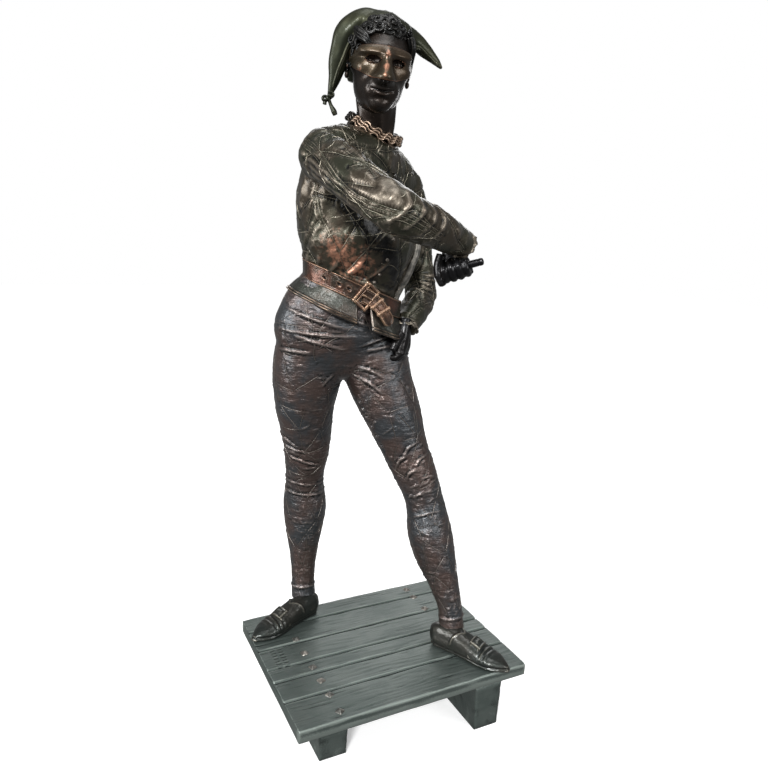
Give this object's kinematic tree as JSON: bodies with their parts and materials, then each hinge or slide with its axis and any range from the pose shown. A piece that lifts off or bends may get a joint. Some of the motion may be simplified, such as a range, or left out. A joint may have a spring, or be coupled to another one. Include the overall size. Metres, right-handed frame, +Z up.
{
  "type": "commedia dell'arte bronze figure",
  "caption": "Cast bronze harlequin in a half mask and two-horned hat, one hand on the hip and a short baton in the other, standing on a plank stage on two bearers.",
  "frame": {"origin": "middle of the whole part's footprint, on the surface it stands on, at the undersides of the bearers", "axes": "+Z up, +X along the planks towards the figure's left foot, -Y the front"},
  "size_m": [0.32, 0.2992, 0.879],
  "materials": {
    "figure_bronze": "dark brown-black bronze patina with an olive cast, rubbed to copper brown on the high points, waxed to a soft gloss",
    "baton_bronze": "near-black bronze patina, waxed",
    "stage_bronze": "dark green-grey bronze patina, satin, with lighter rubbed grain and nail heads"
  },
  "bodies": {
    "root": {"figure": "figure_bronze", "baton": "baton_bronze", "plank_stage": "stage_bronze"}
  },
  "joints": []
}
